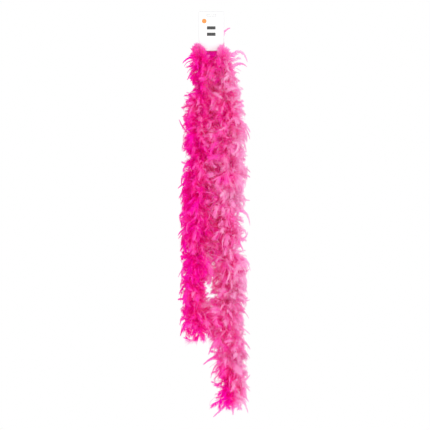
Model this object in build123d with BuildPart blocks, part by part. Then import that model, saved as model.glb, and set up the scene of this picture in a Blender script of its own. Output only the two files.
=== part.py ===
"""Feather boa folded over two nylon loops on a hanging header card.

Millimetres, +Z up, +X to the right and +Y away from the person who looks at the card.
The origin is the centre of the card's hang slot, where a shop peg holds the whole product.
"""
import math
import os

from build123d import *

# ---- header card ----
CARD_WIDTH = 70.0
CARD_HEIGHT = 110.0
CARD_THICKNESS = 0.6
CARD_CORNER = 3.0
CARD_TOP = 11.0                 # card edge above the hang slot's centre
SLOT_LENGTH = 25.0
SLOT_HEIGHT = 5.0
SLOT_DOME_RADIUS = 4.5          # round dome above the middle of the slot
SLOT_DOME_RISE = 1.5

# ---- nylon loops through the card's lower corners ----
LOOP_X = 20.0
TIE_HOLE_Z = -94.5
TIE_HOLE_RADIUS = 2.5
LOOP_END_RADIUS = 6.0           # wide enough for the strip of card below the hole to turn inside
LEFT_LOOP_BOTTOM_Z = -128.8     # centre of each strap where it passes under the cord
RIGHT_LOOP_BOTTOM_Z = -128.0
STRAP_RADIUS = 0.9
LOCK_WIDTH = 4.0
LOCK_DEPTH = 3.5
LOCK_HEIGHT = 8.0
LOCK_FILLET = 0.8

# ---- core cord, from the left end of the fold over both loops to the right end ----
CORD_RADIUS = 2.5
CORD_GAP_AT_HINGE = 2.0         # each cord piece stops this far short of a hinge point
KNOT_RADIUS = 6.0
KNOT_DEPTH = 5.0                # knot's centre below the cord's cut end
FOLD_ROUTE = [
    (-33, 0, -162), (-33, 0, -136), (-22, 0, -124), (0, 0, -125),
    (24, 0, -124), (37, 0, -134), (39, 0, -162),
]
LEFT_ROUTE = [
    (-33, 0, -162), (-34, 1, -204), (-37, 2.5, -270), (-40, 3, -344), (-42, 2, -418), (-43, 0, -492),
    (-43, -2, -566), (-42, -3, -640), (-41, -2.5, -714), (-41, -1, -788), (-42, 0, -864),
]
RIGHT_ROUTE = [
    (39, 0, -162), (40.5, -1, -204), (44.5, -2.5, -270), (48.5, -3, -344), (51, -2, -418), (52, 0, -492),
    (51.5, 2, -566), (50, 3, -640), (48.5, 2.5, -714), (48.5, 1, -788), (50, 0, -861), (53, -0.5, -932),
    (54.5, 0, -1003), (54, 1, -1068),
]
# Each body of the boa as (name, first and last point of its stretch of the route)
LEFT_BODIES = [("upper", 0, 5), ("lower", 5, 10)]
RIGHT_BODIES = [("upper", 0, 5), ("middle", 5, 11), ("tail", 11, 13)]

# ---- feather sections: one to each run of the route ----
LEFT_RADII = [24, 29, 33, 35, 37, 37, 37, 37, 37, 33]
RIGHT_RADII = [26, 32, 38, 41, 43, 43, 43, 43, 43, 43, 42, 40, 31]
HUB_RADIUS = 6.5                # quill ends gathered on the cord at both ends of a section
END_GAP = 4.0                   # bare cord between a section and the route point beside it
CONE_SHARE = 0.28               # length of each tapered end, as a share of the run
CONE_FILLET = 9.0
BORE_CLEARANCE = 0.1

# ---- feathers on the fold: outlines as (distance along X, radius) ----
FOLD_AXIS_Z = -125.0
FOLD_OUTLINE = [(-16, 10), (-9, 21), (9, 21), (16, 10)]
LEFT_SHOULDER_OUTLINE = [(22.5, 10), (28.5, 22), (50, 27), (58, 13)]
RIGHT_SHOULDER_OUTLINE = [(22.5, 10), (28.5, 22), (54, 28), (63, 13)]
FOLD_FILLET = 4.0


def cord_radii(points):
    """Largest tangent arc at each inner point: 0.45 of the shorter run over tan(half the turn)."""
    radii = []
    for before, here, after in zip(points, points[1:], points[2:]):
        run_in, run_out = here - before, after - here
        half_turn = math.radians(run_in.get_angle(run_out)) / 2
        radii.append(0.45 * min(run_in.length, run_out.length) / math.tan(half_turn))
    return radii


def cord_tube(route, radius, start_gap, end_gap):
    """Round tube along straight runs joined by tangent arcs, drawn in from the route's two ends."""
    points = [Vector(*point) for point in route]
    points[0] += (points[1] - points[0]).normalized() * start_gap
    points[-1] += (points[-2] - points[-1]).normalized() * end_gap
    with BuildPart() as tube:
        with BuildLine() as path:
            FilletPolyline(*points, radius=cord_radii(points))
        with BuildSketch(Plane(origin=points[0], z_dir=points[1] - points[0])):
            Circle(radius)
        sweep(path=path.wires()[0])
    return tube.part, path.wires()[0].length


def turned_solid(start, direction, outline, fillet_radius):
    """Solid turned about the line from start; the outline is (distance along the line, radius) pairs."""
    across = (Vector(0, 1, 0) - direction * direction.Y).normalized()
    corners = [(0, outline[0][0])]
    corners += [(radius, distance) for distance, radius in outline]
    corners.append((0, outline[-1][0]))
    with BuildPart() as turned:
        with BuildSketch(Plane(origin=start, x_dir=across, z_dir=across.cross(direction))) as profile:
            with BuildLine():
                Polyline(*corners, close=True)
            make_face()
            widest = profile.vertices().sort_by(Axis.X)[-2:]
            fillet(widest, radius=fillet_radius)
        revolve(axis=Axis(start, direction))
    return turned.part


def feather_section(start, end, radius):
    """Barrel of fluff round one run of the cord, tapered at both ends so that neighbours can bend."""
    start, end = Vector(*start), Vector(*end)
    run = (end - start).length
    cone = CONE_SHARE * run
    outline = [
        (END_GAP, HUB_RADIUS),
        (END_GAP + cone, radius),
        (run - END_GAP - cone, radius),
        (run - END_GAP, HUB_RADIUS),
    ]
    return turned_solid(start, (end - start).normalized(), outline, min(CONE_FILLET, cone / 2))


def write_piece(part, name, cord_bore=None):
    """Take the cord's bore out of the piece where it has one, label it and write its STEP file."""
    with BuildPart() as piece:
        add(part)
        if cord_bore is not None:
            add(cord_bore, mode=Mode.SUBTRACT)
    piece.part.label = name
    export_step(piece.part, f"parts/{name}.step")


def write_card():
    """Flat card with a domed hang slot near its top and a tie hole above each lower corner."""
    with BuildPart() as header_card:
        with BuildSketch(Plane.XZ.offset(-CARD_THICKNESS / 2)):
            with Locations((0, CARD_TOP - CARD_HEIGHT / 2)):
                RectangleRounded(CARD_WIDTH, CARD_HEIGHT, CARD_CORNER)
            SlotOverall(SLOT_LENGTH, SLOT_HEIGHT, mode=Mode.SUBTRACT)
            with Locations((0, SLOT_DOME_RISE)):
                Circle(SLOT_DOME_RADIUS, mode=Mode.SUBTRACT)
            with Locations((-LOOP_X, TIE_HOLE_Z), (LOOP_X, TIE_HOLE_Z)):
                Circle(TIE_HOLE_RADIUS, mode=Mode.SUBTRACT)
        extrude(amount=CARD_THICKNESS)
    write_piece(header_card.part, "header_card")


def write_loop(name, x, bottom_z):
    """Nylon strap bent into a long loop through the tie hole and under the cord, its lock behind."""
    middle = (x, 0, (TIE_HOLE_Z + bottom_z) / 2)
    with BuildSketch(Plane(origin=middle, x_dir=(0, 0, 1), z_dir=(1, 0, 0))) as outline:
        SlotOverall(TIE_HOLE_Z - bottom_z, 2 * LOOP_END_RADIUS)
    path = outline.sketch.face().outer_wire()
    with BuildPart() as lock:
        with Locations((x, LOOP_END_RADIUS, middle[2])):
            Box(LOCK_WIDTH, LOCK_DEPTH, LOCK_HEIGHT)
        fillet(lock.edges(), radius=LOCK_FILLET)
    with BuildPart() as loop:
        with BuildSketch(Plane(origin=path @ 0, z_dir=path % 0)):
            Circle(STRAP_RADIUS)
        sweep(path=path)
        add(lock.part)
    write_piece(loop.part, name)


def write_knot(name, route):
    """Overhand knot at the cord's cut end, flat where the cord meets it."""
    end = Vector(*route[-1])
    direction = (end - Vector(*route[-2])).normalized()
    with BuildPart() as knot:
        with Locations(end + direction * KNOT_DEPTH):
            Sphere(KNOT_RADIUS)
        split(bisect_by=Plane(origin=end, z_dir=direction), keep=Keep.TOP)
    write_piece(knot.part, name)


def write_fold():
    """Cord over the two loops, with the feathers between the loops and outside each of them."""
    cord, length = cord_tube(FOLD_ROUTE, CORD_RADIUS, CORD_GAP_AT_HINGE, CORD_GAP_AT_HINGE)
    bore, _ = cord_tube(FOLD_ROUTE, CORD_RADIUS + BORE_CLEARANCE, 0, 0)
    write_piece(cord, "core_cord_fold")
    outlines = [
        ("fold_feathers", 1, FOLD_OUTLINE),
        ("left_shoulder_feathers", -1, LEFT_SHOULDER_OUTLINE),
        ("right_shoulder_feathers", 1, RIGHT_SHOULDER_OUTLINE),
    ]
    for name, side, outline in outlines:
        body = turned_solid(Vector(0, 0, FOLD_AXIS_Z), Vector(side, 0, 0), outline, FOLD_FILLET)
        write_piece(body, name, bore)
    return length


def write_strand(side, route, bodies, radii):
    """One hanging strand: a cord piece for each body and a feather section for each run."""
    length = 0
    for body, first, last in bodies:
        stretch = route[first:last + 1]
        end_gap = 0 if last == len(route) - 1 else CORD_GAP_AT_HINGE
        cord, cord_length = cord_tube(stretch, CORD_RADIUS, CORD_GAP_AT_HINGE, end_gap)
        bore, _ = cord_tube(stretch, CORD_RADIUS + BORE_CLEARANCE, 0, 0)
        write_piece(cord, f"core_cord_{side}_{body}")
        for run in range(first, last):
            section = feather_section(route[run], route[run + 1], radii[run])
            write_piece(section, f"{side}_feathers_{run + 1:02d}", bore)
        length += cord_length
    write_knot(f"end_knot_{side}", route)
    return length


os.makedirs("parts", exist_ok=True)
write_card()
write_loop("nylon_loop_left", -LOOP_X, LEFT_LOOP_BOTTOM_Z)
write_loop("nylon_loop_right", LOOP_X, RIGHT_LOOP_BOTTOM_Z)
fold_length = write_fold()
left_length = write_strand("left", LEFT_ROUTE, LEFT_BODIES, LEFT_RADII)
right_length = write_strand("right", RIGHT_ROUTE, RIGHT_BODIES, RIGHT_RADII)

for route_name, route in (("fold", FOLD_ROUTE), ("left", LEFT_ROUTE), ("right", RIGHT_ROUTE)):
    arcs = cord_radii([Vector(*point) for point in route])
    print(f"{route_name} cord arc radii, mm:", ", ".join(f"{arc:.1f}" for arc in arcs))
print(f"cord lengths, mm: fold {fold_length:.1f}, left {left_length:.1f}, right {right_length:.1f}")
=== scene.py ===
"""Pink feather boa on its hanging header card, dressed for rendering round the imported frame.

Metres, +Z up, +X to the right and -Y towards the viewer, as in the frame.
"""
import math
from typing import NamedTuple

import bpy
import numpy as np
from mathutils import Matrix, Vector


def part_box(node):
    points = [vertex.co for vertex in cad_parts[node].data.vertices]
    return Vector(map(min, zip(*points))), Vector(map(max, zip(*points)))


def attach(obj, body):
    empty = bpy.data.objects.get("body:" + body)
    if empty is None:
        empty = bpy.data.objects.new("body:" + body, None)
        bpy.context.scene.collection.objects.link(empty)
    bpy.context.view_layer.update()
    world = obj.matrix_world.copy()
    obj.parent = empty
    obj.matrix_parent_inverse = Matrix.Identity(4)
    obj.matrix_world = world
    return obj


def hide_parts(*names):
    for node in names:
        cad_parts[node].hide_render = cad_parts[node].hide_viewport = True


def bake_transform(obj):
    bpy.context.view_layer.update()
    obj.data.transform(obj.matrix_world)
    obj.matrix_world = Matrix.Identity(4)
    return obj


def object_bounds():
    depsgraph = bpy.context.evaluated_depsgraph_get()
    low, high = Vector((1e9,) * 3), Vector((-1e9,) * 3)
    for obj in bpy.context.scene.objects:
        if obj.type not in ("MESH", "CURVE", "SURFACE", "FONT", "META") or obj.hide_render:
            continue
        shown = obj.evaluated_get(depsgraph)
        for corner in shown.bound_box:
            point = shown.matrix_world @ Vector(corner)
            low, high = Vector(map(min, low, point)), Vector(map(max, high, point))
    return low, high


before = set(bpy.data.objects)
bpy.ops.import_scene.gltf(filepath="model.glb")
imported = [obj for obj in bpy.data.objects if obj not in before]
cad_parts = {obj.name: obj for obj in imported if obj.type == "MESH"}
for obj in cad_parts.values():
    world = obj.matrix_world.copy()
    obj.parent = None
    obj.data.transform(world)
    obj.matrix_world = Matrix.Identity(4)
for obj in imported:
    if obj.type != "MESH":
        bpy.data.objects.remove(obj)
cad_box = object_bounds()


def milli(table):
    """A table written in thousandths: of a metre, or of one for shares and tones."""
    return (np.array(table) / 1000).tolist()


# ---------------- driving values

SEED = 2117

# The cord's route from the left end, over the two loops, to the right end
LEFT_ROUTE = milli([
    (-33, 0, -162), (-34, 1, -204), (-37, 2.5, -270), (-40, 3, -344), (-42, 2, -418),
    (-43, 0, -492), (-43, -2, -566), (-42, -3, -640), (-41, -2.5, -714), (-41, -1, -788),
    (-42, 0, -864),
])
FOLD_ROUTE = milli([
    (-33, 0, -136), (-22, 0, -124), (0, 0, -125), (24, 0, -124), (37, 0, -134),
])
RIGHT_ROUTE = milli([
    (39, 0, -162), (40.5, -1, -204), (44.5, -2.5, -270), (48.5, -3, -344), (51, -2, -418),
    (52, 0, -492), (51.5, 2, -566), (50, 3, -640), (48.5, 2.5, -714), (48.5, 1, -788),
    (50, 0, -861), (53, -0.5, -932), (54.5, 0, -1003), (54, 1, -1068),
])
BOA_ROUTE = LEFT_ROUTE[::-1] + FOLD_ROUTE + RIGHT_ROUTE
FOLD_Z = FOLD_ROUTE[2][2]

DOWN = np.array([0.0, 0.0, -1.0])
INTO_PICTURE = np.array([0.0, 1.0, 0.0])

# ---- quills ----
QUILL_POINTS = 10  # points along each quill
QUILL_SIDES = 3
QUILL_THICKNESS = 0.00040
QUILL_TIP = 0.18  # its tip's thickness, as a share
QUILL_PALENESS = 0.30  # quills take the dye less than the barbs do
GOLDEN_ANGLE = 2.39996  # from each root to the next one round the cord
ROOT_SCATTER = 0.35
UPRIGHT_SINE = 0.25  # a quill this near the vertical finds its side from the cord
CURL_POWER = 2.5  # how near the tip a quill's further bending lies
SWAY = 0.35  # spread of the even bending sideways, in radians over the length
TIP_SWAY = 0.55  # and of the further bending near the tip

# ---- barbs: angles in radians, the rest in shares of the barb's or the vane's length ----
BARB_TAPER = (0.75, 1.0, 0.7, 0.0)  # width at each point along a barb
BARB_POINTS = len(BARB_TAPER)
RIBBON_POINTS = 2 * BARB_POINTS - 1  # two at each point of a barb, but one at its tip
RIBBON_FACES = np.array([(0, 1, 3), (0, 3, 2), (2, 3, 5), (2, 5, 4), (4, 5, 6)])
BARB_HALF_WIDTH = 0.47  # of the space between barbs
BARB_LENGTHS = (0.8, 1.2)  # shortest and longest, as a share of the vane's width
BARB_WIDTHS = (0.8, 1.15)
DOWN_NARROWING = 0.45
FIRST_BARB = 0.04
BARB_JITTER = 0.3  # of the space between barbs
BARB_OPENING = 1.20  # a barb's angle from the quill at its root
TIP_CLOSING = 0.75  # how much smaller the angle is at the vane's tip
SPLIT_OPENING = 0.16  # change of the angle beside a split
VANE_SPLITS = (2.5, 5.5)  # places along a vane where its barbs part
RAGGED_OPENING = 0.22  # spread of the angle in a ragged vane
DOWN_OPENING = 0.5  # and in loose down
BARB_LIFT = 0.15  # a barb's angle out of the vane's plane
RAGGED_LIFT = 0.36
DOWN_LIFT = 0.9
BARB_AHEAD = 0.35  # how far a barb's tip bends towards the quill's tip,
BARB_SAG = 0.15  # towards the ground,
DOWN_SAG = 0.20  # further towards the ground where it is loose down,
BARB_INWARD = 0.10  # and back towards the quill
BARB_WAVE = 0.22
RAGGED_WAVE = 0.6
DOWN_REACH = 0.4  # loose down stands out this much farther

# ---- vane outlines, along the quill ----
POINTED_START, ROUND_START = 0.08, 0.10  # where a vane reaches its full width
POINTED_NARROWING = 1.4  # how fast the inner half narrows to the outer half's width
ROUND_NARROWING = 0.55  # how much narrower a round vane is at its tip

# ---- dye, painted light and painted shade: a tone of 0 is deepest and 1 is palest ----
BARB_UNEVENNESS = 0.09  # spread of tone from barb to barb
FEATHER_UNEVENNESS = 0.06  # and from feather to feather
PATCH_SCALE = 20.0  # uneven dye, in patches of about 50 mm
PATCH_UNEVENNESS = 0.60
# Larger deep and pale places, painted shade where the boa lies in shadow and painted light where it
# catches the lamps: (x, z, radius, change of tone)
SHADE_AND_LIGHT_PATCHES = milli([
    (-50, -150, 24, -280), (-48, -255, 35, 240), (-26, -320, 20, 160), (30, -285, 28, -220),
    (46, -190, 30, 160), (60, -410, 30, 150), (45, -455, 20, -400), (60, -505, 30, 320),
    (0, -480, 28, 140), (-76, -540, 50, 220), (-38, -710, 35, -120), (-50, -775, 22, 180),
    (-20, -812, 22, 200), (-55, -885, 22, 220), (14, -1040, 45, -750), (-55, -530, 24, -300),
    (0, -385, 26, -220), (-26, -645, 22, 220), (52, -800, 28, 150), (22, -1060, 30, -450),
])
TONE_BASE = 0.155
TONE_RISE = 0.42  # from the cord to one section radius out: deeper near the cord as painted shade inside the fluff, and paler feather tips
TONE_POWER = 1.3
TONE_DEPTH = 1.1  # in section radii; farther out the tone rises no more
PAINTED_LIGHT_ACROSS = 4.7  # painted light: the tone is paler towards +X, the lamps' side, by this much tone in a metre
FEATHER_STOPS = [  # colour at each tone, of the dye and of the light and shade painted into it
    (0.00, (0.968, 0.000, 0.61)), (0.28, (0.977, 0.007, 0.61)), (0.50, (0.983, 0.12, 0.64)),
    (0.74, (0.960, 0.35, 0.73)), (1.00, (0.94, 0.58, 0.80)),
]


class Vane(NamedTuple):
    """The barbs of one kind of feather."""
    barbs: int  # on each side of the quill
    twist: float  # spread of the vane's turn about its quill
    tip: float  # width of the vane's outer half, as a share; 1 is a full round vane
    fluff: float  # how far along the quill the loose down reaches
    ragged: float  # how unevenly the barbs lie, as a share of the fluffiest kind's


class Kind(NamedTuple):
    """One kind of feather. Pairs are lowest and highest, but lean is mean and spread."""
    per_metre: int  # feathers on each metre of cord
    length: tuple  # in radii of the section
    width: tuple  # of the vane on one side of the quill, in radii of the section
    lean: tuple  # of the root towards the ground
    bow: tuple  # even bending towards the ground, in radians over the length
    curl: tuple  # further bending near the tip
    vane: Vane


KINDS = [
    Kind(860, (0.80, 1.15), (0.30, 0.45), (0.0, 0.7), (0.0, 1.0), (0.0, 1.0),
         Vane(18, 1.0, 1.0, 1.0, 1.0)),
    Kind(960, (1.20, 1.75), (0.26, 0.42), (0.05, 0.75), (-0.3, 1.6), (-0.6, 2.2),
         Vane(38, 0.8, 1.0, 0.50, 1.0)),
    Kind(180, (1.50, 2.05), (0.20, 0.32), (0.15, 0.45), (0.1, 1.1), (0.3, 2.2),
         Vane(36, 0.8, 0.30, 0.35, 0.7)),
]
LUMPINESS = 0.11
LUMP_LENGTHS = (0.092, 0.061)  # spacing of the fuller and thinner places along the cord

# ---- feathers placed one by one ----
LONG_VANE = Vane(44, 0.5, 0.42, 0.25, 0.35)
LONG_WIDTH = 0.013  # of the vane on one side of the quill
LONG_TONE_RADIUS = 0.050  # their tone rises from the root out to here: painted shade near the cord, and paler tips
WIDTH_RANGE = (0.8, 1.25)
TUFT_VANE = Vane(40, 0.35, 1.0, 0.35, 0.35)
TUFT_WIDTH = 0.010
TUFT_COPIES = 4  # feathers grown round each row of a tuft's list
TUFT_JITTER = 0.0032

# ---- room: wisps are drawn in past the CAD model's box ----
STAND_PROUD_SHARE = 0.03  # of each side of the box
FLUFF_PROUD = (0.0055, 0.009, 0.009)  # and so far besides, along each axis
FLUFF_KNEE = 0.022  # they are drawn in gradually over this distance
LONG_PROUD = (0.0095, 0.009, 0.009)
LONG_KNEE = 0.003

# Single long feathers that stand out of the outline: (root, point the quill bends towards, tip)
LEFT_LONG = milli([
    ((-33, 0, -135), (-52, -20, -100), (-80, -18, -134)),
    ((-33, 0, -150), (-48, -12, -140), (-67, -10, -180)),
    ((-35, 0, -225), (-50, -10, -210), (-64, -10, -246)),
    ((-38, 0, -345), (-68, -8, -335), (-90, -4, -290)),
    ((-41, 0, -400), (-60, 4, -400), (-74, 4, -419)),
    ((-43, 0, -450), (-70, -10, -458), (-93, -10, -481)),
    ((-43, 0, -465), (-74, -16, -472), (-90, -14, -509)),
    ((-43, 0, -545), (-94, -10, -535), (-86, -10, -575)),
    ((-43, 0, -580), (-72, -12, -580), (-93, -12, -612)),
    ((-43, 0, -590), (-76, 4, -590), (-92, 4, -622)),
    ((-42, 0, -615), (-68, -6, -615), (-87, -6, -656)),
    ((-42, 0, -680), (-70, -10, -675), (-92, -10, -728)),
    ((-41, 0, -740), (-74, 4, -735), (-90, 4, -776)),
    ((-41, 0, -775), (-70, -10, -785), (-93, -10, -789)),
    ((-41, 0, -815), (-74, -6, -820), (-89, -6, -860)),
    ((-41, 0, -835), (-78, 6, -850), (-86, 6, -891)),
    ((-41, 0, -855), (-50, -10, -885), (-48, -10, -905)),
])
RIGHT_LONG = milli([
    ((37, 0, -135), (85, -12, -70), (100, -12, -131)),
    ((39, 0, -158), (78, -6, -120), (98, -6, -143)),
    ((42, 0, -235), (75, 4, -232), (91, 4, -254)),
    ((46, 0, -290), (92, 4, -288), (108, 4, -325)),
    ((46, 0, -300), (95, -8, -290), (107, -8, -345)),
    ((47, 0, -320), (90, -14, -325), (97, -14, -381)),
    ((51, 0, -425), (88, 4, -412), (108, 4, -436)),
    ((51, 0, -440), (90, -4, -435), (107, -4, -450)),
    ((52, 0, -462), (92, -2, -462), (78, -2, -516)),
    ((52, 0, -505), (85, 6, -512), (107, 6, -514)),
    ((52, 0, -540), (104, -6, -530), (107, -6, -584)),
    ((51, 0, -600), (90, -8, -645), (101, -8, -601)),
    ((50, 0, -612), (78, -4, -628), (88, -4, -652)),
    ((49, 0, -680), (90, 4, -658), (106, 4, -694)),
    ((49, 0, -690), (94, -12, -655), (109, -12, -711)),
    ((49, 0, -705), (88, -4, -722), (105, -4, -705)),
    ((49, 0, -775), (85, -4, -800), (107, -4, -790)),
    ((49, 0, -790), (80, -10, -800), (104, -10, -842)),
    ((50, 0, -860), (20, -16, -850), (-27, -14, -888)),
    ((50, 0, -855), (85, -6, -862), (107, -6, -886)),
    ((52, 0, -890), (5, -8, -895), (-8, -8, -943)),
    ((52, 0, -895), (90, -12, -895), (108, -12, -928)),
    ((53, 0, -945), (15, -12, -935), (-23, -12, -970)),
    ((53, 0, -925), (90, 4, -920), (107, 4, -954)),
    ((53, 0, -960), (8, -4, -955), (-2, -4, -1008)),
    ((54, 0, -1015), (85, -4, -1030), (108, -4, -998)),
    ((54, 0, -1020), (86, 4, -1015), (108, 4, -1046)),
    ((54, 0, -1030), (85, -10, -1020), (107, -10, -1034)),
    ((54, 0, -1045), (84, 4, -1042), (104, 4, -1074)),
    ((54, 0, -1055), (88, -6, -1050), (102, -6, -1105)),
    ((54, 0, -1060), (60, -10, -1085), (60, -10, -1110)),
    ((54, 0, -1062), (40, -4, -1085), (5, -4, -1116)),
])
# The two clumps that rise in front of the card's lower corners
LEFT_TUFT = milli([
    ((-31, 0, -128), (-50, -12, -62), (-23, -12, -102)),
    ((-31, 0, -128), (-53, -12, -70), (-31, -14, -93)),
    ((-33, 0, -132), (-50, -12, -86), (-46, -10, -95)),
    ((-29, 0, -126), (-34, -16, -84), (-21, -14, -107)),
    ((-31, 0, -128), (-36, -16, -102), (-37, -16, -94)),
    ((-35, 0, -134), (-50, -12, -108), (-50, -10, -112)),
    ((-28, 0, -126), (-26, -20, -108), (-26, -16, -116)),
    ((-25, 0, -125), (-20, -26, -112), (-18, -18, -134)),
])
RIGHT_TUFT = milli([
    ((31, 0, -126), (28, -14, -102), (29, -12, -89)),
    ((29, 0, -125), (25, -14, -108), (26, -12, -97)),
    ((33, 0, -128), (31, -14, -102), (34, -12, -94)),
    ((34, 0, -130), (38, -12, -104), (42, -10, -100)),
    ((36, 0, -134), (46, -12, -104), (50, -10, -106)),
    ((28, 0, -125), (23, -18, -112), (24, -16, -104)),
    ((25, 0, -125), (20, -26, -112), (18, -18, -134)),
])
# The fluff that fills the space under the card's lower edge, from behind the card
MIDDLE_TUFT = milli([
    ((-14, 0, -125), (-20, 8, -104), (-13, 6, -94)),
    ((-8, 0, -125), (-10, 10, -106), (-7, 8, -92)),
    ((-2, 0, -125), (-4, 6, -100), (1, 6, -93)),
    ((4, 0, -125), (2, 10, -104), (6, 8, -92)),
    ((10, 0, -125), (14, 8, -106), (12, 6, -94)),
    ((16, 0, -125), (22, 6, -104), (18, 6, -96)),
    ((-6, 0, -125), (-8, -10, -112), (-2, -4, -103)),
    ((6, 0, -125), (10, -10, -112), (8, -4, -103)),
])
BEHIND_CARD_LONG = milli([((24, 0, -124), (22, 12, -38), (52, 10, -35))])
TUFTS = [  # name, rows, side of the card (-1 in front), how much paler: painted light on the clumps in front of the card, a little deeper for the one behind it
    ("tuft_left", LEFT_TUFT, -1, 0.24),
    ("tuft_middle", MIDDLE_TUFT, 1, -0.08),
    ("tuft_right", RIGHT_TUFT, -1, 0.24),
]

# Reach of the feathers that face the other strand, from the fold down: the two strands close up
# on each other except for one gap low down
LEFT_INNER_REACH = milli([44, 46, 49, 52, 52, 52, 51, 47, 27, 48])
RIGHT_INNER_REACH = milli([42, 44, 48, 52, 54, 54, 52, 47, 34, 50, 33, 36, 31])
FOLD_DOWN_REACH = 0.050
INNER_POWER = 0.7  # how closely a feather must face that way to have that reach
# Places where the outline pulls in or swells: the strand (-1 left, 1 right), the way that its
# feathers face (1 outwards, -1 inwards) and rows of (height of the roots, half length, change)
OUTLINE_CHANGES = [
    (1, 1, milli([
        (-320, 16, 250), (-365, 18, -300), (-430, 14, 200), (-478, 18, -650), (-546, 26, -850),
        (-635, 26, -650), (-690, 14, 250), (-780, 14, 200), (-800, 10, -300), (-845, 20, -500),
        (-1015, 25, 350),
    ])),
    (1, -1, milli([
        (-708, 18, -300), (-775, 20, -300), (-856, 20, 250), (-985, 30, -150),
    ])),
    (-1, 1, milli([
        (-200, 30, -450), (-275, 14, 300), (-390, 34, -320), (-590, 16, 250), (-750, 16, 250),
        (-852, 18, 350),
    ])),
    (-1, -1, milli([
        (-712, 18, -400), (-770, 24, -250), (-792, 10, -300),
    ])),
]

# ---- strands: side, route, hinges it bends at, way to the other strand, reach that way ----
# Each hinge is (body above, body below, last run of the route above it)
STRANDS = [
    ("left", LEFT_ROUTE, [("left_upper", "left_lower", 5)], (1, 0, 0), LEFT_INNER_REACH),
    ("right", RIGHT_ROUTE,
     [("right_upper", "right_middle", 5), ("right_middle", "right_tail", 11)],
     (-1, 0, 0), RIGHT_INNER_REACH),
]

# ---- cord and knots ----
CORD_RADIUS = 0.0025
CORD_TWIST_PITCH = 0.011
CORD_STEP = 0.0015  # between the rings of each strand
STRAND_SIDES = 8
CORD_TOP_Z = -0.145  # where the fold's cord piece meets the two hanging ones
PATH_STRIDE = 3  # rings from one point of a cord's path to the next
MIDDLE_CUT, LOW_CUT = 3, 8  # points of the strands' routes where two cord pieces meet
KNOT_SCALE = 0.00135  # of a trefoil whose lobes reach 3 units out
KNOT_DEPTH = 1.4  # front to back, in the same units
KNOT_STEPS = 72
KNOT_TWISTS = 5  # of the two strands round each other
KNOT_OFFSET = 0.45  # of each strand from the knot's line, in cord radii
KNOT_STRAND = 0.48  # radius of each strand in the knot, in cord radii

# ---- header card ----
DOT_CENTRE = (-0.020, -0.016)
DOT_RADIUS = 0.0065
DOT_COLOUR = (0.80, 0.25, 0.03)
BAR_CENTRE_X = -0.0005
BAR_ROWS_Z = (-0.035, -0.0527)
BAR_HALF = (0.012, 0.0045)
INK_COLOUR = (0.015, 0.015, 0.015)
CARD_CLEARANCE = 0.0015
CARD_SOFTNESS = 0.012  # feathers start to lean back this far from the card's edges
CARD_TUCK = 0.7
SLOT_HALF = (0.0125, 0.0025)
CARD_RIM = 0.0015  # width of the darker line round the board's face and its slot
RIM_SHADE = 0.5  # how far it goes towards the edge grey
EDGE_GREY = (0.32, 0.32, 0.34)
BOARD_STOPS = [(0.0, (0.80, 0.80, 0.80)), (1.0, (0.87, 0.87, 0.87))]
BOARD_FIBRE_SCALE = 900.0

# ---- cord's and loops' looks; a noise of scale s has details of about 1 / s metres ----
CORD_STOPS = [(0.3, (0.42, 0.0, 0.10)), (0.7, (0.66, 0.02, 0.22))]
CORD_DYE_SCALE = 220.0
CORD_FIBRE_SCALE = 2500.0
NYLON_STOPS = [(0.3, (0.80, 0.80, 0.80)), (0.7, (0.95, 0.95, 0.95))]
NYLON_MILK_SCALE = 400.0

# ---- camera, lamps and stage ----
AIM = (0.010, 0.0, -0.555)  # middle of the picture
VIEW_HEIGHT = 1.195
CAMERA_DISTANCE = 8.0
WORLD_STRENGTH = 1.0
LIGHT_BOUNCES = 32  # pale dyed feathers light each other deep inside the fluff
LAMPS = [  # name, place, size, watts
    ("key", (2.6, -1.8, 0.3), 1.0, 27.0),
    ("front", (0.4, -4.0, -0.2), 2.0, 23.0),
]
FLOOR_Z = -1.6
FLOOR_SIZE = 8.0
FLOOR_COLOUR = (0.97, 0.97, 0.97)


# ---------------- directions, lines and meshes

def unit(vectors):
    """The same vectors at length one, along the last axis."""
    return vectors / np.maximum(np.linalg.norm(vectors, axis=-1, keepdims=True), 1e-9)


def turned(first, second, angle):
    """Directions turned by an angle each, from the first towards the second."""
    return first * np.cos(angle)[..., None] + second * np.sin(angle)[..., None]


def smooth_line(route):
    """Points read from the route's own NURBS spline."""
    data = bpy.data.curves.new("route", "CURVE")
    data.dimensions = "3D"
    data.resolution_u = 12
    spline = data.splines.new("NURBS")
    spline.points.add(len(route) - 1)
    for point, place in zip(spline.points, route):
        point.co = (*place, 1)
    spline.order_u = 3
    spline.use_endpoint_u = True
    holder = bpy.data.objects.new("route", data)
    mesh = bpy.data.meshes.new_from_object(holder)
    line = np.array([vertex.co for vertex in mesh.vertices])
    bpy.data.objects.remove(holder)
    bpy.data.curves.remove(data)
    bpy.data.meshes.remove(mesh)
    return line


class Line:
    """A polyline that gives places and directions by distance along it."""

    def __init__(self, points):
        self.points = points
        steps = np.linalg.norm(np.diff(points, axis=0), axis=1)
        self.distance = np.concatenate([[0], np.cumsum(steps)])
        self.length = self.distance[-1]

    def at(self, distance):
        axes = [np.interp(distance, self.distance, values) for values in self.points.T]
        return np.stack(axes, axis=-1)

    def direction(self, distance, reach=0.004):
        distance = np.asarray(distance)
        return unit(self.at(distance + reach) - self.at(distance - reach))

    def nearest(self, place):
        return self.distance[np.argmin(np.linalg.norm(self.points - np.asarray(place), axis=1))]


def side_faces(index):
    """Two triangles for each side of a tube; the index's last two axes are its rings and sides."""
    here, there = index[..., :-1, :], index[..., 1:, :]
    here_next, there_next = np.roll(here, -1, axis=-1), np.roll(there, -1, axis=-1)
    return [np.stack([here, here_next, there_next], axis=-1).reshape(-1, 3),
            np.stack([here, there_next, there], axis=-1).reshape(-1, 3)]


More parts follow.
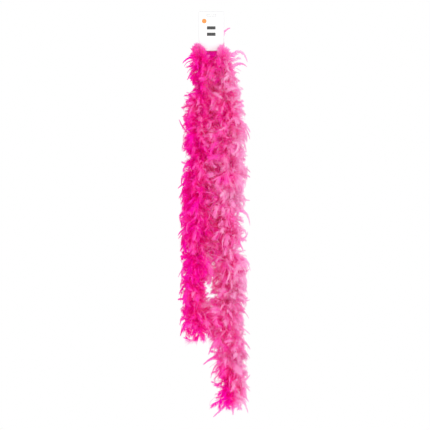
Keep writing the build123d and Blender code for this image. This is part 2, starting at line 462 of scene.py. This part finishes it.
def join_meshes(meshes):
    """One array of points and one of faces from several."""
    points, faces, total = [], [], 0
    for mesh_points, mesh_faces in meshes:
        points.append(mesh_points)
        faces.append(mesh_faces + total)
        total += len(mesh_points)
    return np.concatenate(points), np.concatenate(faces)


def triangle_object(name, points, faces, material, tones=None):
    """A mesh object from arrays of points and triangles, with an optional tone at each point."""
    mesh = bpy.data.meshes.new(name)
    mesh.vertices.add(len(points))
    mesh.vertices.foreach_set("co", points.astype(np.float32).ravel())
    mesh.loops.add(3 * len(faces))
    mesh.loops.foreach_set("vertex_index", faces.astype(np.int32).ravel())
    mesh.polygons.add(len(faces))
    mesh.polygons.foreach_set("loop_start", np.arange(0, 3 * len(faces), 3, dtype=np.int32))
    mesh.polygons.foreach_set("use_smooth", np.ones(len(faces), dtype=bool))
    mesh.update(calc_edges=True)
    mesh.validate()
    if tones is not None:
        attribute = mesh.attributes.new("tone", "FLOAT", "POINT")
        attribute.data.foreach_set("value", tones.astype(np.float32))
    mesh.materials.append(material)
    piece = bpy.data.objects.new(name, mesh)
    bpy.context.collection.objects.link(piece)
    return piece


# ---------------- feathers

def grow_quills(rng, kind, roots, outward, along, length):
    """Quill points and the frame (direction, side, face normal) at each, for all feathers at once.

    Each quill leaves the cord outwards, bows over towards the ground and curls sideways a little.
    """
    count = len(roots)
    lean = rng.normal(*kind.lean, count)
    start = unit(outward + along * lean[:, None])
    side = np.cross(start, DOWN)
    upright = np.linalg.norm(side, axis=1) < UPRIGHT_SINE
    side[upright] = np.cross(start[upright], along[upright])
    side = unit(side)
    ground = np.cross(side, start)
    t = np.linspace(0, 1, QUILL_POINTS)
    bow = rng.uniform(*kind.bow, count)[:, None] * t
    bow = bow + rng.uniform(*kind.curl, count)[:, None] * t ** CURL_POWER
    sway = rng.normal(0, SWAY, count)[:, None] * t
    sway = sway + rng.normal(0, TIP_SWAY, count)[:, None] * t ** 3
    ahead = turned(start[:, None], ground[:, None], bow)
    direction = unit(turned(ahead, side[:, None], sway))
    steps = unit(direction[:, 1:] + direction[:, :-1])
    steps = steps * (length / (QUILL_POINTS - 1))[:, None, None]
    travelled = np.concatenate([np.zeros((count, 1, 3)), np.cumsum(steps, axis=1)], axis=1)
    face = unit(np.cross(direction, side[:, None]))
    across = np.cross(face, direction)
    twist = rng.normal(0, kind.vane.twist, count)[:, None]
    twist = twist + rng.normal(0, kind.vane.twist, count)[:, None] * t
    across, face = turned(across, face, twist), turned(face, -across, twist)
    return roots[:, None] + travelled, direction, across, face


def sample(values, t):
    """Values along each feather read at the shares t, which run from 0 to 1."""
    place = t * (values.shape[1] - 1)
    low = np.minimum(place.astype(int), values.shape[1] - 2)
    share = (place - low)[..., None]
    rows = np.arange(len(values))[:, None]
    return values[rows, low] * (1 - share) + values[rows, low + 1] * share


def vane_outline(t, tip):
    """Width of a vane at the shares t of its quill: round, or pointed where tip is below 1."""
    if tip < 1:
        narrowing = tip + (1 - tip) * np.clip(1 - t * POINTED_NARROWING, 0, 1)
        return np.clip(t / POINTED_START, 0, 1) * narrowing * (1 - t ** 6) ** 0.6
    return np.clip(t / ROUND_START, 0, 1) * (1 - ROUND_NARROWING * t ** 4.0)


def grow_barbs(rng, vane, frames, length, width):
    """Ribbons on both sides of every quill: centre points, half widths and the way they lie."""
    quill, direction, across, face = frames
    count = len(quill)
    jitter = rng.uniform(-BARB_JITTER, BARB_JITTER, (count, vane.barbs)) / vane.barbs
    t = np.linspace(FIRST_BARB, 1.0, vane.barbs)[None] + jitter
    t = np.concatenate([t, t + 0.5 / vane.barbs], axis=1)   # the other side's lie half a space on
    t = np.clip(t, 0, 1)
    hand = np.where(np.arange(2 * vane.barbs) < vane.barbs, 1.0, -1.0)[None, :, None]
    root = sample(quill, t)
    ahead = unit(sample(direction, t))
    out = unit(sample(across, t)) * hand
    normal = unit(sample(face, t))
    down = np.clip(1 - t / vane.fluff, 0, 1)
    splits = rng.uniform(*VANE_SPLITS, count)[:, None] * t + rng.uniform(0, 1, count)[:, None]
    opening = (BARB_OPENING - TIP_CLOSING * t ** 1.5
               + SPLIT_OPENING * np.sin(2 * math.pi * splits + hand[..., 0])
               + rng.normal(0, RAGGED_OPENING * vane.ragged, t.shape)
               + down * rng.normal(0, DOWN_OPENING, t.shape))
    lift = rng.normal(BARB_LIFT, RAGGED_LIFT * vane.ragged, t.shape)
    lift = lift + down * rng.normal(0, DOWN_LIFT, t.shape)
    out_way = turned(out, normal, lift)
    way = unit(turned(ahead, out_way, opening))
    reach = (width[:, None] * vane_outline(t, vane.tip) * rng.uniform(*BARB_LENGTHS, t.shape)
             * (1 + DOWN_REACH * down))
    u = np.linspace(0, 1, BARB_POINTS)[None, None, :, None]
    sag = BARB_SAG + DOWN_SAG * down[..., None]
    bend = ahead * BARB_AHEAD + DOWN * sag - out_way * BARB_INWARD
    wave = rng.normal(0, BARB_WAVE, (*t.shape, 3)) * (RAGGED_WAVE * vane.ragged + down[..., None])
    along_barb = way[:, :, None] * u + (bend + wave)[:, :, None] * u ** 2
    centre = root[:, :, None] + reach[..., None, None] * along_barb
    half = ((length / vane.barbs * BARB_HALF_WIDTH)[:, None] * (1 - DOWN_NARROWING * down)
            * rng.uniform(*BARB_WIDTHS, t.shape))
    return centre, half[..., None] * np.array(BARB_TAPER), unit(np.cross(way, normal))


def ribbon_mesh(centre, half, flat):
    """Triangles for all barbs."""
    left = centre - flat[:, :, None] * half[..., None]
    right = centre + flat[:, :, None] * half[..., None]
    pairs = np.stack([left[:, :, :-1], right[:, :, :-1]], axis=3)
    pairs = pairs.reshape(*centre.shape[:2], RIBBON_POINTS - 1, 3)
    points = np.concatenate([pairs, centre[:, :, -1:]], axis=2).reshape(-1, RIBBON_POINTS, 3)
    faces = RIBBON_FACES[None] + RIBBON_POINTS * np.arange(len(points))[:, None, None]
    return points.reshape(-1, 3), faces.reshape(-1, 3)


def quill_mesh(frames):
    """A tapered three-sided tube along every quill."""
    quill, _, across, face = frames
    taper = np.linspace(1, QUILL_TIP, QUILL_POINTS)[None, :, None, None]
    turn = 2 * math.pi * np.arange(QUILL_SIDES) / QUILL_SIDES
    spokes = turned(across[:, :, None], face[:, :, None], turn)
    points = quill[:, :, None] + QUILL_THICKNESS * taper * spokes
    index = np.arange(points[..., 0].size).reshape(points.shape[:3])
    return points.reshape(-1, 3), np.concatenate(side_faces(index))


def away_from_cord(points, roots, along):
    """Distance of each feather's own points from the straight line of the cord at its root."""
    offset = points - roots[:, None]
    offset = offset - np.sum(offset * along[:, None], axis=-1, keepdims=True) * along[:, None]
    return np.linalg.norm(offset, axis=-1)


def clear_of_card(points, side, tuck):
    """Feathers that rise past the card's lower edge lie against its front (-1) or its back (+1).

    tuck draws them down again by that share of their height above the edge.
    """
    low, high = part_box("header_card")
    beside = np.clip((np.abs(points[:, 0]) - high[0]) / CARD_SOFTNESS, 0, 1)
    points[:, 2] -= tuck * (1 - beside) * np.maximum(points[:, 2] - low[2], 0)
    below = np.clip((low[2] - points[:, 2]) / CARD_SOFTNESS, 0, 1)
    push = 1 - np.maximum(beside, below)
    clear = side * (CARD_CLEARANCE + np.abs(points[:, 1]))
    points[:, 1] = points[:, 1] * (1 - push) + clear * push
    return points


def within_limits(points, proud, knee):
    """Wisps that would leave the space round the CAD model are drawn in smoothly.

    proud is how far they may leave its box along each axis, besides STAND_PROUD_SHARE.
    """
    low, high = (np.array(corner) for corner in cad_box)
    room = STAND_PROUD_SHARE * (high - low) + proud
    for axis in range(3):
        for sign, limit in ((1, high[axis] + room[axis]), (-1, -low[axis] + room[axis])):
            past = np.maximum(sign * points[:, axis] - (limit - knee), 0)
            points[:, axis] -= sign * (past - knee * (1 - np.exp(-past / knee)))
    return points


def roots_round_cord(rng, kind, line, span):
    """Roots spread evenly between two distances and all round the cord.

    Returns their places, their outward ways, the cord's way down and how full each place is.
    """
    count = round(kind.per_metre * abs(span[1] - span[0]))
    share = (np.arange(count) + rng.uniform(0, 1, count)) / count
    place = span[0] + share * (span[1] - span[0])
    along = line.direction(place)
    along = np.where(along[:, 2:] > 0, -along, along)
    angle = np.arange(count) * GOLDEN_ANGLE + rng.normal(0, ROOT_SCATTER, count)
    first = unit(np.cross(along, INTO_PICTURE))
    outward = turned(first, np.cross(along, first), angle)
    lump = 1 + LUMPINESS * (np.sin(place * 2 * math.pi / LUMP_LENGTHS[0] + angle)
                            + np.sin(place * 2 * math.pi / LUMP_LENGTHS[1] - 2 * angle))
    return line.at(place) + outward * CORD_RADIUS, outward, along, lump


def outline_share(roots, outward):
    """Share of its reach that a feather keeps where it faces one of the changed places."""
    share = np.ones(len(roots))
    for side, way, rows in OUTLINE_CHANGES:
        facing = np.clip(outward[:, 0] * side * way, 0, 1) ** 0.5 * (roots[:, 0] * side > 0)
        for height, half_length, change in rows:
            share += change * facing * np.exp(-((roots[:, 2] - height) / half_length) ** 2)
    return share


def shade_and_light_tone(points):
    """Change of tone in the larger deep and pale places: painted shade and painted light."""
    change = np.zeros(len(points))
    for x, z, radius, amount in SHADE_AND_LIGHT_PATCHES:
        apart = (points[:, 0] - x) ** 2 + (points[:, 2] - z) ** 2
        change += amount * np.exp(-apart / radius ** 2)
    return change


def dress_quills(rng, vane, frames, along, length, width, radius):
    """Barbs and quill tubes on given quills, with a tone at each point."""
    count = len(length)
    barbs = ribbon_mesh(*grow_barbs(rng, vane, frames, length, width))
    quills = quill_mesh(frames)
    own_tone = rng.normal(0, FEATHER_UNEVENNESS, count)[:, None]
    barb_tone = rng.normal(0, BARB_UNEVENNESS, (count, 2 * vane.barbs))
    barb_tone = np.repeat(barb_tone, RIBBON_POINTS, axis=1)
    tones = []
    for (points, _), paler in ((barbs, barb_tone), (quills, QUILL_PALENESS)):
        # The tone rises away from the cord: painted shade deep in the fluff, and paler tips
        depth = away_from_cord(points.reshape(count, -1, 3), frames[0][:, 0], along)
        depth = np.minimum(depth / radius[:, None], TONE_DEPTH)
        # Painted light and shade: paler towards +X, the lamps' side, and deeper or paler in the
        # listed shaded and lit places
        across = (PAINTED_LIGHT_ACROSS * points[:, 0] + shade_and_light_tone(points)).reshape(count, -1)
        tone = TONE_BASE + TONE_RISE * depth ** TONE_POWER + own_tone + across + paler
        tones.append(tone.ravel())
    return *join_meshes([barbs, quills]), np.concatenate(tones)


def grow_feathers(rng, kind, roots, outward, along, radius):
    """All feathers of one kind from their roots: points, faces and tones."""
    length = radius * rng.uniform(*kind.length, len(roots))
    width = radius * rng.uniform(*kind.width, len(roots))
    frames = grow_quills(rng, kind, roots, outward, along, length)
    points, faces, tones = dress_quills(rng, kind.vane, frames, along, length, width, radius)
    return within_limits(points, FLUFF_PROUD, FLUFF_KNEE), faces, tones


def grow_long_feathers(rng, line, vane, width, rows):
    """Feathers placed one by one; a row is (root, point the quill bends towards, tip)."""
    rows = np.array(rows)
    roots = np.array([line.at(line.nearest(root)) for root in rows[:, 0]])
    t = np.linspace(0, 1, QUILL_POINTS)[None, :, None]
    quill = roots[:, None] * (1 - t) ** 2 + rows[:, 1:2] * 2 * t * (1 - t) + rows[:, 2:3] * t ** 2
    direction = unit(np.gradient(quill, axis=1))
    across = unit(np.cross(direction, INTO_PICTURE))
    face = np.cross(across, direction)
    twist = rng.normal(0, vane.twist, len(rows))[:, None] * np.ones(QUILL_POINTS)
    across, face = turned(across, face, twist), turned(face, -across, twist)
    length = np.linalg.norm(np.diff(quill, axis=1), axis=2).sum(axis=1)
    width = width * rng.uniform(*WIDTH_RANGE, len(rows))
    radius = np.full(len(rows), LONG_TONE_RADIUS)
    into_picture = np.tile(INTO_PICTURE, (len(rows), 1))
    points, faces, tones = dress_quills(rng, vane, (quill, direction, across, face), into_picture,
                                        length, width, radius)
    return within_limits(points, LONG_PROUD, LONG_KNEE), faces, tones


def feather_object(name, grown, material, side_of_card, tuck=0.0):
    """One object from several grown lots of feathers."""
    points, faces = join_meshes([(points, faces) for points, faces, _ in grown])
    tones = np.concatenate([tones for _, _, tones in grown])
    points = clear_of_card(points, side_of_card, tuck)
    return triangle_object(name, points, faces, material, np.clip(tones, 0, 1))


def feather_piece(name, line, span, reach, long_rows, material):
    """One section's feathers, rooted all round the cord between the two distances of span.

    reach is (general reach, direction of the special reach, reach in that direction).
    """
    rng = np.random.default_rng([SEED, *name.encode()])
    usual, special_way, special = reach
    grown = []
    for kind in KINDS:
        roots, outward, along, lump = roots_round_cord(rng, kind, line, span)
        share = np.clip(outward @ np.array(special_way), 0, 1) ** INNER_POWER
        radius = (usual + (special - usual) * share) * lump * outline_share(roots, outward)
        grown.append(grow_feathers(rng, kind, roots, outward, along, radius))
    if long_rows:
        grown.append(grow_long_feathers(rng, line, LONG_VANE, LONG_WIDTH, long_rows))
    return feather_object(name, grown, material, 1, CARD_TUCK if "shoulder" in name else 0.0)


def tuft_piece(name, line, rows, material, side_of_card, paler):
    """A clump of feathers that rises from the fold in front of the card or behind it."""
    rng = np.random.default_rng([SEED, *name.encode()])
    rows = np.repeat(np.array(rows), TUFT_COPIES, axis=0)
    rows[:, 1:] += rng.normal(0, TUFT_JITTER, rows[:, 1:].shape)
    points, faces, tones = grow_long_feathers(rng, line, TUFT_VANE, TUFT_WIDTH, rows)
    # paler adds painted light to the clumps in front of the card, and deepens the one behind it
    return feather_object(name, [(points, faces, tones + paler)], material, side_of_card)


# ---------------- materials

class Look:
    """A node material with its Principled shader, and short ways to add the nodes used here."""

    def __init__(self, name):
        self.material = bpy.data.materials.new(name)
        self.material.use_nodes = True
        self.nodes = self.material.node_tree.nodes
        self.links = self.material.node_tree.links
        self.shader = self.nodes["Principled BSDF"]

    def feed(self, node, inputs):
        """Give a node's inputs, by name or number, a number, a colour or another node's output."""
        for key, value in inputs.items():
            if isinstance(value, tuple):
                node.inputs[key].default_value = (*value, 1)
            elif isinstance(value, (int, float)):
                node.inputs[key].default_value = value
            else:
                self.links.new(value, node.inputs[key])

    def add(self, kind, inputs=None):
        """The outputs of a new node."""
        node = self.nodes.new("ShaderNode" + kind)
        self.feed(node, inputs or {})
        return node.outputs

    def maths(self, operation, *inputs):
        node = self.nodes.new("ShaderNodeMath")
        node.operation = operation
        self.feed(node, dict(enumerate(inputs)))
        return node.outputs["Value"]

    def mix(self, factor, first, second):
        """The first colour where the factor is 0 and the second where it is 1."""
        node = self.nodes.new("ShaderNodeMix")
        node.data_type = "RGBA"
        self.feed(node, {"Factor": factor, "A": first, "B": second})
        return node.outputs["Result"]

    def noise(self, scale, detail=3.0):
        """Noise over the object's own coordinates, from 0 to 1."""
        place = self.add("TexCoord")["Object"]
        return self.add("TexNoise", {"Vector": place, "Scale": scale, "Detail": detail})["Fac"]

    def ramp(self, factor, stops):
        """Colours along a factor, from (place, colour) pairs."""
        ramp = self.nodes.new("ShaderNodeValToRGB")
        elements = ramp.color_ramp.elements
        while len(elements) < len(stops):
            elements.new(0.5)
        for element, (place, colour) in zip(elements, stops):
            element.position = place
            element.color = (*colour, 1)
        self.feed(ramp, {"Fac": factor})
        return ramp.outputs["Color"]

    def bump(self, height, strength, distance):
        return self.add("Bump", {"Height": height, "Strength": strength,
                                 "Distance": distance})["Normal"]

    def finish(self, inputs):
        """Set the shader's own inputs; the material is ready."""
        self.feed(self.shader, inputs)
        return self.material


def feather_material():
    """Feather: deep magenta to pale pink by tone, which holds the dye and painted light and shade,
    with light passing through the barbs.
    """
    look = Look("feather_dye_painted_light_and_shade")
    tone = look.nodes.new("ShaderNodeAttribute")
    tone.attribute_name = "tone"
    patches = look.maths("MULTIPLY_ADD", look.noise(PATCH_SCALE), PATCH_UNEVENNESS,
                         -PATCH_UNEVENNESS / 2)
    colour = look.ramp(look.maths("ADD", tone.outputs["Fac"], patches), FEATHER_STOPS)
    through = look.add("BsdfTranslucent", {"Color": colour})["BSDF"]
    surface = look.add("MixShader", {"Fac": 0.5, 1: look.shader.outputs["BSDF"], 2: through})
    look.feed(look.nodes["Material Output"], {"Surface": surface["Shader"]})
    return look.finish({"Base Color": colour, "Roughness": 0.7, "Specular IOR Level": 0.06,
                        "Sheen Weight": 0.10, "Sheen Roughness": 0.45,
                        "Sheen Tint": (1.0, 0.35, 0.70)})


def cord_material():
    """Dyed twisted cotton with a fine fibre bump and uneven dye."""
    look = Look("dyed_cord")
    return look.finish({"Base Color": look.ramp(look.noise(CORD_DYE_SCALE), CORD_STOPS),
                        "Roughness": 0.85, "Sheen Weight": 0.3,
                        "Normal": look.bump(look.noise(CORD_FIBRE_SCALE, 2.0), 0.5, 0.0003)})


def nylon_material():
    """Clear moulded nylon, slightly milky."""
    look = Look("clear_nylon")
    return look.finish({"Base Color": look.ramp(look.noise(NYLON_MILK_SCALE), NYLON_STOPS),
                        "Roughness": 0.25, "Transmission Weight": 0.5})


def card_material():
    """Coated white board, grey on its edges and darker in a thin line round its face, with a dot
    and two bars printed in front.
    """
    look = Look("printed_board")
    maths = look.maths
    place = look.add("SeparateXYZ", {"Vector": look.add("TexCoord")["Object"]})
    facing = look.add("SeparateXYZ", {"Vector": look.add("NewGeometry")["True Normal"]})
    flat_side = maths("GREATER_THAN", maths("ABSOLUTE", facing["Y"]), 0.5)
    front = maths("MULTIPLY", maths("LESS_THAN", place["Y"], 0.0), flat_side)

    def from_centre(centre):
        return [maths("SUBTRACT", place[axis], middle) for axis, middle in zip("XZ", centre)]

    def block(centre, half):
        """One inside a rectangle on the card's face, zero outside."""
        inside = [maths("LESS_THAN", maths("ABSOLUTE", offset), reach)
                  for offset, reach in zip(from_centre(centre), half)]
        return maths("MULTIPLY", *inside)

    bars = maths("ADD", *[block((BAR_CENTRE_X, row_z), BAR_HALF) for row_z in BAR_ROWS_Z])
    squares = [maths("POWER", maths("DIVIDE", offset, DOT_RADIUS), 2.0)
               for offset in from_centre(DOT_CENTRE)]
    dot = maths("LESS_THAN", maths("ADD", *squares), 1.0)
    fibre = look.noise(BOARD_FIBRE_SCALE, 4.0)
    colour = look.ramp(fibre, BOARD_STOPS)
    for mask, paint in ((dot, DOT_COLOUR), (bars, INK_COLOUR)):
        colour = look.mix(maths("MULTIPLY", mask, front), colour, paint)

    low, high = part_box("header_card")
    middle = ((low[0] + high[0]) / 2, (low[2] + high[2]) / 2)
    # A darker line round the face and the slot; the edges themselves take the edge grey
    inner = ((high[0] - low[0]) / 2 - CARD_RIM, (high[2] - low[2]) / 2 - CARD_RIM)
    slot = block((0.0, 0.0), (SLOT_HALF[0] + CARD_RIM, SLOT_HALF[1] + CARD_RIM))
    inside = maths("SUBTRACT", block(middle, inner), slot)
    whole = maths("MULTIPLY", flat_side, maths("MULTIPLY_ADD", inside, RIM_SHADE, 1 - RIM_SHADE))
    return look.finish({"Base Color": look.mix(whole, EDGE_GREY, colour),
                        "Roughness": 0.38, "Coat Weight": 0.15,
                        "Normal": look.bump(fibre, 0.12, 0.0002)})


# ---------------- cord

class Twist:
    """The whole cord's two strands, wound about its line, from which each piece takes a stretch."""

    def __init__(self, line):
        count = int(line.length / CORD_STEP) + 1
        self.distance = np.linspace(0, line.length, count)
        self.centre = line.at(self.distance)
        self.ahead = line.direction(self.distance)
        side = unit(np.cross(self.ahead[0], INTO_PICTURE))
        sides = []
        for ahead in self.ahead:
            side = unit(side - ahead * np.dot(side, ahead))
            sides.append(side)
        self.side = np.array(sides)
        self.up = np.cross(self.ahead, self.side)

    def strand(self, part, phase):
        """Rings of one strand along part of the cord."""
        angle = phase + 2 * math.pi * self.distance[part] / CORD_TWIST_PITCH
        offset = turned(self.side[part], self.up[part], angle)
        middle = self.centre[part] + offset * (CORD_RADIUS / 2)
        return tube_rings(middle, self.ahead[part], offset, CORD_RADIUS / 2)

    def piece(self, name, start, end, material):
        """A stretch of the cord between two distances, and the path that it follows."""
        first, last = np.searchsorted(self.distance, [start, end])
        last = min(last, len(self.distance) - 1)
        part = slice(first, last + 1)
        strands = [tube_mesh(self.strand(part, phase)) for phase in (0.0, math.pi)]
        piece = triangle_object(name, *join_meshes(strands), material)
        path = self.centre[part][::PATH_STRIDE].tolist() + [self.centre[last].tolist()]
        return piece, path


def tube_rings(middle, ahead, first, radius):
    """Rings of points round a line, given one direction across it at each point."""
    first = unit(first - ahead * np.sum(first * ahead, axis=1, keepdims=True))
    second = np.cross(ahead, first)
    turn = 2 * math.pi * np.arange(STRAND_SIDES) / STRAND_SIDES
    return middle[:, None] + radius * turned(first[:, None], second[:, None], turn)


def tube_mesh(rings):
    """Triangles between rings of points, with a flat cap at both ends."""
    count, sides = rings.shape[:2]
    fan = np.arange(1, sides - 1)
    hub = np.zeros_like(fan)
    caps = [np.stack([hub, fan + 1, fan], axis=-1),
            np.stack([hub, fan, fan + 1], axis=-1) + (count - 1) * sides]
    faces = side_faces(np.arange(count * sides).reshape(count, sides)) + caps
    return rings.reshape(-1, 3), np.concatenate(faces)


def knot_piece(name, node, material):
    """Overhand knot of the same two strands, in the place that the CAD knot holds."""
    low, high = (np.array(corner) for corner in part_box(node))
    turn = 2 * math.pi * np.arange(KNOT_STEPS + 1) / KNOT_STEPS
    loop = KNOT_SCALE * np.stack([
        np.sin(turn) + 2 * np.sin(2 * turn),
        -KNOT_DEPTH * np.sin(3 * turn),
        np.cos(turn) - 2 * np.cos(2 * turn),
    ], axis=1)
    ahead = unit(np.roll(loop[:-1], -1, axis=0) - np.roll(loop[:-1], 1, axis=0))
    ahead = np.concatenate([ahead, ahead[:1]])
    outward = unit(np.cross(ahead, INTO_PICTURE))
    across = np.cross(ahead, outward)
    strands = []
    for phase in (0.0, math.pi):
        offset = turned(outward, across, phase + KNOT_TWISTS * turn)
        middle = (low + high) / 2 + loop + offset * CORD_RADIUS * KNOT_OFFSET
        strands.append(tube_mesh(tube_rings(middle, ahead, offset, CORD_RADIUS * KNOT_STRAND)))
    return triangle_object(name, *join_meshes(strands), material)


# ---------------- assembly

def move_with(piece, bodies):
    """The piece rides on its one body; with two, its place is baked into its mesh and it rides on
    neither.
    """
    if len(bodies) == 1:
        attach(piece, *bodies)
        return
    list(bodies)
    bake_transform(piece)


def place_section(line, material, node, ends, special, bodies):
    """One section of feathers between two ends on the cord, replacing its CAD solid.

    special is (direction, reach of the feathers that grow that way).
    """
    span = (line.nearest(ends[0]), line.nearest(ends[1]))
    rows = RIGHT_LONG if node.startswith("right") else LEFT_LONG
    rows = [row for row in rows if min(span) <= line.nearest(row[0]) < max(span)]
    low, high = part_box(node)
    usual = (high[1] - low[1]) / 2
    piece = feather_piece("fluff_" + node, line, span, (usual, *special), rows, material)
    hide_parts(node)
    move_with(piece, bodies)


def bodies_beside(side, run, bends):
    """The bodies listed for one run's feathers: two where a hinge is within two runs."""
    if run == 1:
        return "fold", f"{side}_upper"
    body = f"{side}_upper"
    for above, below, last in bends:
        if last - 1 <= run <= last + 2:
            return above, below
        if run > last:
            body = below
    return (body,)


def place_feathers(line, material):
    """Every section of feathers: the fold's, its two shoulders' and the strands'."""
    downwards = (DOWN, FOLD_DOWN_REACH)
    low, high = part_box("fold_feathers")
    place_section(line, material, "fold_feathers", ((low[0], 0, FOLD_Z), (high[0], 0, FOLD_Z)),
                  downwards, ("card", "fold"))
    for side, route, *_ in STRANDS:
        node = f"{side}_shoulder_feathers"
        low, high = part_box(node)
        inner = high[0] if side == "left" else low[0]
        place_section(line, material, node, ((inner, 0, FOLD_Z), route[0]), downwards,
                      ("fold", f"{side}_upper"))
    for side, route, bends, inward, inner_reach in STRANDS:
        for run, (*ends, reach) in enumerate(zip(route, route[1:], inner_reach), start=1):
            place_section(line, material, f"{side}_feathers_{run:02d}", ends, (inward, reach),
                          bodies_beside(side, run, bends))


def place_tufts(line, material):
    """The clumps at the card's lower corners, the one between them and the feather behind it."""
    tufts = [tuft_piece(name, line, rows, material, side_of_card, paler)
             for name, rows, side_of_card, paler in TUFTS]
    behind = grow_long_feathers(np.random.default_rng(SEED), line, LONG_VANE, LONG_WIDTH,
                                BEHIND_CARD_LONG)
    tufts.append(feather_object("feather_behind_card", [behind], material, 1))
    for tuft in tufts:
        move_with(tuft, ("card", "fold"))


def place_cord(line, material):
    """The core cord in six stretches, each crossing at most one hinge, and its two end knots."""
    twist = Twist(line)
    left_top = line.nearest((LEFT_ROUTE[0][0], 0, CORD_TOP_Z))
    right_top = line.nearest((RIGHT_ROUTE[0][0], 0, CORD_TOP_Z))
    left_middle = line.nearest(LEFT_ROUTE[MIDDLE_CUT])
    right_middle = line.nearest(RIGHT_ROUTE[MIDDLE_CUT])
    right_low = line.nearest(RIGHT_ROUTE[LOW_CUT])
    knots = {}
    for side, body in (("left", "left_lower"), ("right", "right_tail")):
        knots[side] = knot_piece(f"knot_{side}", f"end_knot_{side}", material)
        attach(knots[side], body)
        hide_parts(f"end_knot_{side}")
    stretches = [               # name, start, end, bodies, knot at the far end
        ("cord_over_fold", left_top, right_top, ("fold",), None),
        ("cord_left_top", left_top, left_middle, ("fold", "left_upper"), None),
        ("cord_left_bottom", left_middle, 0.0, ("left_upper", "left_lower"), knots["left"]),
        ("cord_right_top", right_top, right_middle, ("fold", "right_upper"), None),
        ("cord_right_middle", right_middle, right_low, ("right_upper", "right_middle"), None),
        ("cord_right_bottom", right_low, line.length, ("right_middle", "right_tail"),
         knots["right"]),
    ]
    for name, start, end, bodies, knot in stretches:
        piece, path = twist.piece(name, min(start, end), max(start, end), material)
        if end < start:
            path.reverse()
        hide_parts(f"core_cord_{bodies[-1]}")
        move_with(piece, bodies)


def give_material(node, material):
    """A carried-over CAD node keeps its mesh and takes a better material."""
    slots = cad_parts[node].data.materials
    slots.clear()
    slots.append(material)


def place_stage():
    """White floor well below the hanging boa, white surroundings and two soft lamps."""
    bpy.ops.mesh.primitive_plane_add(size=FLOOR_SIZE, location=(0, 0, FLOOR_Z))
    floor = bpy.context.object
    floor.name = "floor"
    material = Look("studio_floor").finish({"Base Color": FLOOR_COLOUR, "Roughness": 0.9})
    floor.data.materials.append(material)

    world = bpy.data.worlds.new("white_studio")
    bpy.context.scene.world = world
    world.use_nodes = True
    background = world.node_tree.nodes["Background"]
    background.inputs["Color"].default_value = (1, 1, 1, 1)
    background.inputs["Strength"].default_value = WORLD_STRENGTH

    for name, place, size, power in LAMPS:
        data = bpy.data.lights.new(name, "AREA")
        data.size = size
        data.energy = power
        lamp = bpy.data.objects.new(name, data)
        lamp.location = place
        aim = Vector(AIM) - lamp.location
        lamp.rotation_euler = aim.to_track_quat("-Z", "Y").to_euler()
        bpy.context.collection.objects.link(lamp)


def place_camera():
    """Long lens, level with the middle of the boa, looking straight at the card's face."""
    data = bpy.data.cameras.new("camera")
    data.sensor_width = 36.0
    data.lens = data.sensor_width * CAMERA_DISTANCE / VIEW_HEIGHT
    data.clip_end = 100.0
    camera = bpy.data.objects.new("camera", data)
    camera.location = (AIM[0], -CAMERA_DISTANCE, AIM[2])
    camera.rotation_euler = (math.pi / 2, 0, 0)
    bpy.context.collection.objects.link(camera)
    bpy.context.scene.camera = camera


def main():
    place_camera()
    place_stage()
    line = Line(smooth_line(BOA_ROUTE))
    place_cord(line, cord_material())
    feathers = feather_material()
    place_feathers(line, feathers)
    place_tufts(line, feathers)
    give_material("header_card", card_material())
    nylon = nylon_material()
    give_material("nylon_loop_left", nylon)
    give_material("nylon_loop_right", nylon)

    scene = bpy.context.scene
    scene.view_settings.view_transform = "Standard"
    scene.cycles.diffuse_bounces = LIGHT_BOUNCES
    scene.cycles.transmission_bounces = LIGHT_BOUNCES
    scene.cycles.max_bounces = LIGHT_BOUNCES


main()
